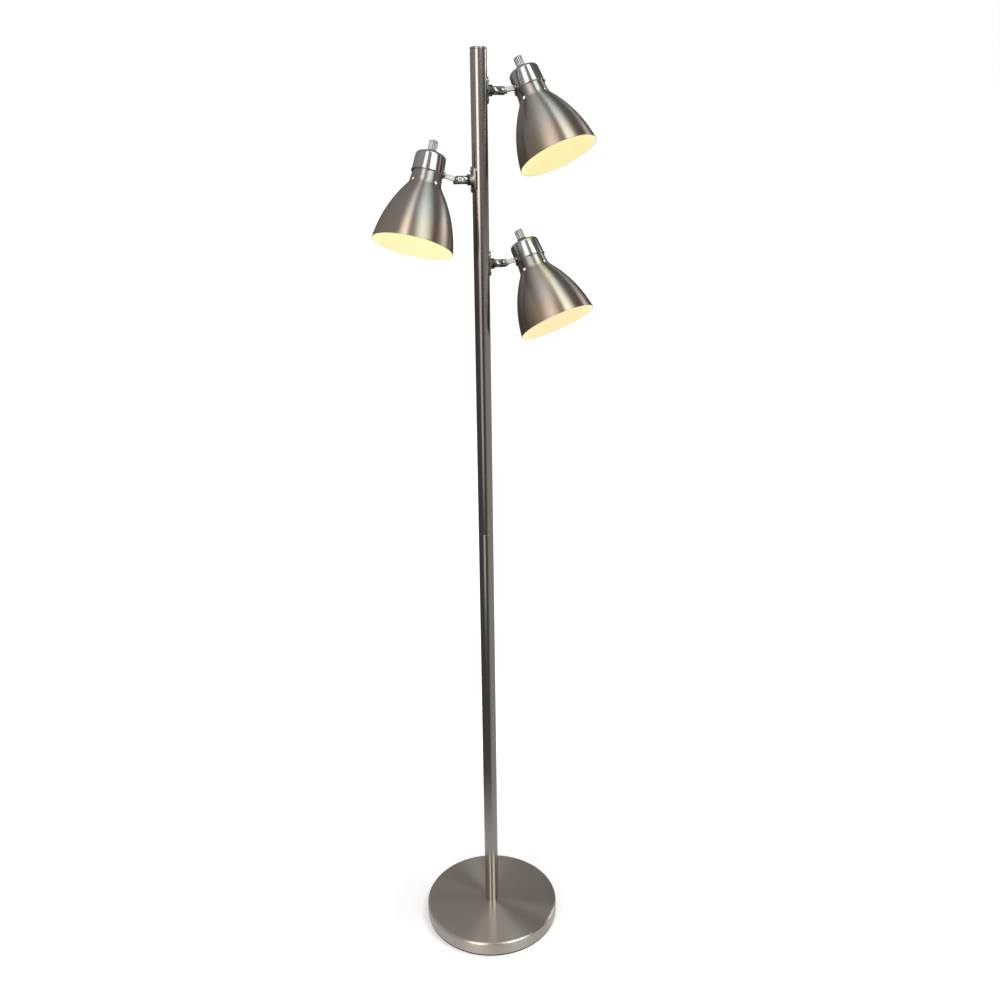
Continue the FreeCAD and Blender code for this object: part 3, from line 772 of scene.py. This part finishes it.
knobFinishAndFluteShade = dict(
    capFinish, rough=0.34, stretch=0.0,
    dark=(0.56, 0.56, 0.56), light=(0.64, 0.64, 0.64), tone=(0.60, 0.60, 0.60),
    # painted shade: the hollows between the flutes are darkened
    rim={"by": "Away", "from": 0.0070, "to": 0.0065, "amount": 0.85,
         "colour": (0.10, 0.10, 0.10)})
knobShape = {
    "radius": 7.2, "height": 17.0, "bottom": 3.7, "bore": 2.0, "sharpAngle": 40,
    "skirt": 7.8, "skirtHeight": 1.6, "skirtRounding": 0.4, "skirtSteps": 96,
    "sunk": 0.1,                 # the fluted grip starts this far inside the skirt
    "flutes": 16, "fluteDepth": 0.85, "fluteWidth": 0.62, "perFlute": 8,
    "chamfer": 0.9, "chamferShare": 0.88, "dish": 0.3, "dishShare": 0.66, "dishFloor": 0.94,
}


def makeKnob(name, matrix, values, materials):
    bottom, skirtTop = values["bottom"], values["bottom"] + values["skirtHeight"]
    skirt, bore, rounding = values["skirt"], values["bore"], values["skirtRounding"]
    bm = turned([(bore, bottom), (skirt, bottom, rounding), (skirt, skirtTop, rounding),
                 (bore, skirtTop)], values["skirtSteps"])
    for face in bm.faces:
        face.material_index = 1
    start = Matrix.Translation((0, 0, (skirtTop - values["sunk"]) * mm))
    rim = bmesh.ops.create_circle(bm, cap_ends=True, radius=values["radius"] * mm, matrix=start,
                                  segments=values["flutes"] * values["perFlute"])["verts"]
    for corner in rim:       # each flute is a hollow of half a circle's outline
        flute = math.atan2(corner.co.y, corner.co.x) / (2 * math.pi) * values["flutes"]
        across = abs(flute - round(flute)) * 2 / values["fluteWidth"]
        depth = values["fluteDepth"] * math.sqrt(max(0.0, 1 - across ** 2))
        corner.co.xy *= 1 - depth / values["radius"]
    top = rim[0].link_faces[0]
    if top.normal.z < 0:
        top.normal_flip()
    # the top goes up to the grip's end, in over a chamfer, and down into a shallow dish
    grip = values["height"] - values["skirtHeight"] - values["chamfer"] + values["sunk"]
    for rise, share in ((grip, 1.0), (values["chamfer"], values["chamferShare"]),
                        (0.0, values["dishShare"]), (-values["dish"], values["dishFloor"])):
        bmesh.ops.inset_individual(bm, faces=[top], thickness=0, depth=rise * mm)
        for corner in top.verts:
            corner.co.xy *= share
    finished(newPiece(name + "_knob_finished", bm, matrix, name + "_knob_body",
                      materials, [name + "_knob"]), values["sharpAngle"])


armFinish = dict(standFinish, dark=(0.30, 0.27, 0.24), light=(0.35, 0.32, 0.285), rough=0.2,
                 stretch=0.4)
saddleFinish = {
    "grain": 900.0,
    "dark": (0.23, 0.21, 0.19), "light": (0.29, 0.265, 0.24), "worn": (0.18, 0.17, 0.15),
    "rough": 0.26, "spread": 0.03, "metallic": 1.0, "bump": 0.06, "depth": 0.00004,
}
# painted light: the lampholder's black moulding glows as if lit by the lamp below it
holderFinishAndPaintedGlow = dict(             # its black moulding is lit by the lamp below it
    enamelFinishAndPaintedGlow, mouth=-0.055, deep=-0.02, strength=1.8, mirrored=1.0,
    near=(1.0, 0.90, 0.70), far=(1.0, 0.88, 0.66))
bulbFinish = {
    "core": (1.0, 0.86, 0.58), "edge": (1.0, 0.80, 0.48), "strength": 1.8,
    "light": (0.92, 0.9, 0.84), "dark": (0.86, 0.83, 0.76), "cloud": 30.0, "skin": 1200.0,
    "rough": 0.16, "spread": 0.04, "bump": 0.05, "depth": 0.00002,
}
glow = glowingGlass("litOpalGlass", bulbFinish)
saddleMetal = coatedMaterial("saddleNickel", saddleFinish)


def makeHead(name):
    matrix = headMatrix(name)
    point, axis = matrix.translation, matrix.to_3x3() @ upright
    headBody, armBody = name + "_head_body", name + "_arm_body"
    shadeMetal = spunMetal(name + "ShadeNickel", point, axis, shadeFinish)
    enamel = litMaterial(name + "Enamel", point, axis, dict(enamelFinishAndPaintedGlow, **lampGlow[name]))
    litHolder = litMaterial(name + "LitHolder", point, axis, holderFinishAndPaintedGlow)
    capMetal = spunMetal(name + "CapNickel", point, axis, capFinish)
    stemMetal = spunMetal(name + "StemMetal", point, axis, stemFinish)
    knobMetal = spunMetal(name + "KnobMetal", point, axis, knobFinishAndFluteShade)
    armMetal = spunMetal(name + "ArmNickel", *armAxis(name), armFinish)

    makeShade(name, matrix, shadeShape, [shadeMetal, enamel])
    makeCap(name, matrix, capShape, capMetal)
    makeStem(name, matrix, stemShape, stemMetal)
    makeKnob(name, matrix, knobShape, [knobMetal, moulded])
    dressed(name + "_tongue", headBody, saddleMetal)
    dressed(name + "_arm", armBody, armMetal)
    dressed(name + "_arm_fasteners", armBody, zinc)
    dressed(name + "_saddle", standBody, saddleMetal)
    dressed(name + "_lampholder", headBody, litHolder)
    dressed(name + "_bulb_glass", headBody, glow)
    for hidden, material in (("_shade_ring", moulded), ("_tongue_screw", zinc),
                             ("_screw_shell", brass), ("_bulb_base", zinc), ("_spindle", brass)):
        setMaterial(name + hidden, material)


for name in headNames:
    makeHead(name)
print("heads finished")

roomSettings = {
    "backdrop": 1.0,             # what the camera sees
    "low": 0.32,                 # what metal and glass see of it near the horizon
    "high": 0.46,                # and overhead
    "overhead": 0.9,
    "darkWay": (0.98, 0.18, 0.0),
    "darkSpan": (-0.7, 0.9),     # along that way, from the bright side to the dark one
    "brightest": 1.25,           # share of it on the bright side
    "darkest": 0.35,             # and on the dark side
    "fill": 0.55,                # even light on matt surfaces
}
# radius, glowSpan, shareSpan and stripSpan are metres from the pole
floorSettings = {
    "radius": 60.0,
    "steps": 96,
    "paint": 0.72,               # the floor's own colour
    # metal sees the floor's paint nearly black, with painted light on it instead
    "mirroredPaint": 0.05,       # and what metal sees of it
    "nearGlow": 0.38,            # what the camera sees of it beside its paint
    "farGlow": 0.75,             # and away from the lamp, where it runs into the backdrop
    "glowSpan": (0.19, 0.57),
    # painted light that only metal sees: a pool of light near the lamp, darker on the left than on
    # the right
    "nearShare": 0.62,           # metal sees the floor lit near the lamp
    "leftShare": 0.07,           # and away from it darker on the left than on the right
    "rightShare": 0.46,
    "shareSpan": (0.19, 0.45),
    "sideSpan": (0.3, 0.6),      # where left turns into right, from -1 far left to 1 far right
    # a painted reflection of the rose panel, laid on the floor as a strip
    "strip": 0.9,                # the rose panel's strip on the floor
    "stripSpan": (1.4, 2.4),
}
# panels of the room that metal sees, round from the photographer: right is positive, in degrees
studioPanels = {
    "rosePanel": {"round": -25, "half": 12, "soft": 7, "low": -0.4, "high": 0.97,
                  "bright": 3.3, "colour": (1.0, 0.95, 0.94)},
    "mintPanel": {"round": 46, "half": 19, "soft": 6, "low": 0.34, "high": 0.97,
                  "bright": 4.1, "colour": (0.86, 1.0, 0.98)},
    "edgePanel": {"round": 115, "half": 11, "soft": 4, "low": 0.1, "high": 0.5,
                  "bright": 3.2, "colour": (1.0, 1.0, 1.0)},
}
# softboxes stand round the lamp: right, back and up are metres as the photographer sees them
softboxes = {
    "highRight": {"right": 1.35, "back": -0.25, "up": 3.25, "wide": 1.1, "tall": 0.9,
                  "power": 40, "aim": 1.3, "colour": (0.96, 1.0, 0.99)},
    "leftFill": {"right": -1.4, "back": -2.2, "up": 2.2, "wide": 0.6, "tall": 2.4,
                 "power": 16, "aim": 1.2, "colour": (1.0, 0.96, 0.95)},
}


# masks of what the camera sees, through glass too, and of what metal sees
def raysOf(tree):
    path = node(tree, "ShaderNodeLightPath").outputs
    plain = mathNode(tree, "MAXIMUM", path["Is Camera Ray"], path["Is Transmission Ray"])
    return plain, path["Is Glossy Ray"]


# a panel stands at its angle from the photographer, whose heading turns it
def placedPanel(tree, direction, panel, turn):
    heading = math.radians(panel["round"]) - turn
    inner, outer = (math.cos(math.radians(panel["half"] + soft))
                    for soft in (-panel["soft"], panel["soft"]))
    return placedGroup(tree, panelGroup, {
        "Direction": direction, "Middle": (math.sin(heading), -math.cos(heading), 0),
        "Inner": inner, "Outer": outer, "Low": panel["low"], "High": panel["high"]})["Mask"]


def makeWorld(values, panels, turn):
    world = bpy.data.worlds.new("studioRoom")
    bpy.context.scene.world = world
    tree = emptyTree(world)
    plain, metal = raysOf(tree)
    direction = node(tree, "ShaderNodeTexCoord").outputs["Generated"]
    height = spanned(tree, heightOf(tree, direction), 0.0, values["overhead"], values["low"],
                     values["high"])
    side = vectorNode(tree, "DOT_PRODUCT", direction, values["darkWay"])
    dim = spanned(tree, side, *values["darkSpan"], values["brightest"], values["darkest"])
    seen = blended(tree, 1.0, (0, 0, 0), mathNode(tree, "MULTIPLY", height, dim))
    for panel in panels.values():
        lit = tuple(part * panel["bright"] for part in panel["colour"])
        seen = blended(tree, placedPanel(tree, direction, panel, turn), seen, lit)
    around = blended(tree, metal, (values["fill"],) * 3, seen)
    light = node(tree, "ShaderNodeBackground")
    feed(tree, light.inputs["Color"], blended(tree, plain, around, (values["backdrop"],) * 3))
    feed(tree, node(tree, "ShaderNodeOutputWorld").inputs[0], light.outputs[0])


def makeFloor(values, panel, turn):
    bm = bmesh.new()
    bmesh.ops.create_circle(bm, cap_ends=True, radius=values["radius"],
                            segments=values["steps"])
    floor = meshObject("studioFloor", bm)
    made = bpy.data.materials.new("paleFloor")
    tree = emptyTree(made)
    plain, metal = raysOf(tree)
    paint = node(tree, "ShaderNodeBsdfDiffuse")
    feed(tree, paint.inputs["Color"], blended(tree, metal, (values["paint"],) * 3,
                                              (values["mirroredPaint"],) * 3))
    place = node(tree, "ShaderNodeTexCoord").outputs["Object"]
    reach = vectorNode(tree, "LENGTH", place)
    shown = spanned(tree, reach, *values["glowSpan"], values["nearGlow"], values["farGlow"])
    # painted light that only metal sees on the floor: the rose panel's strip, a darker left side
    # and a pool near the lamp
    strip = mathNode(tree, "MULTIPLY", placedPanel(tree, place, panel, turn),
                     spanned(tree, reach, *values["stripSpan"], 0.0, values["strip"]))
    side = vectorNode(tree, "DOT_PRODUCT", vectorNode(tree, "NORMALIZE", place),
                      levelWays(turn)[0])
    far = spanned(tree, side, *values["sideSpan"], values["leftShare"], values["rightShare"])
    mirrored = spanned(tree, reach, *values["shareSpan"], values["nearShare"],
                       mathNode(tree, "MAXIMUM", far, strip))
    bright = node(tree, "ShaderNodeEmission")
    feedAll(tree, bright, {"Color": (1, 1, 1), "Strength": mathNode(
        tree, "ADD", mathNode(tree, "MULTIPLY", plain, shown),
        mathNode(tree, "MULTIPLY", metal, mirrored))})
    both = node(tree, "ShaderNodeAddShader")
    feedAll(tree, both, {0: paint.outputs[0], 1: bright.outputs[0]})
    feed(tree, node(tree, "ShaderNodeOutputMaterial").inputs[0], both.outputs[0])
    floor.data.materials.append(made)


def makeSoftbox(name, values, turn):
    data = bpy.data.lights.new(name, "AREA")
    data.shape = "RECTANGLE"
    data.size, data.size_y = values["wide"], values["tall"]
    data.energy, data.color = values["power"], values["colour"]
    light = newObject(name, data)
    light.visible_glossy = False       # metal sees the room's panels in its place
    right, back = levelWays(turn)
    place = right * values["right"] + back * values["back"] + upright * values["up"]
    aimed = (place - upright * values["aim"]).to_track_quat("Z", "Y").to_matrix().to_4x4()
    light.matrix_world = Matrix.Translation(place) @ aimed


turn = cameraSettings["turn"]
makeWorld(roomSettings, studioPanels, turn)
makeFloor(floorSettings, studioPanels["rosePanel"], turn)
for label, values in softboxes.items():
    makeSoftbox(label, values, turn)
for tree in ownTrees:
    arranged(tree)
bpy.context.scene.view_settings.view_transform = "Standard"
print("room and lights set")
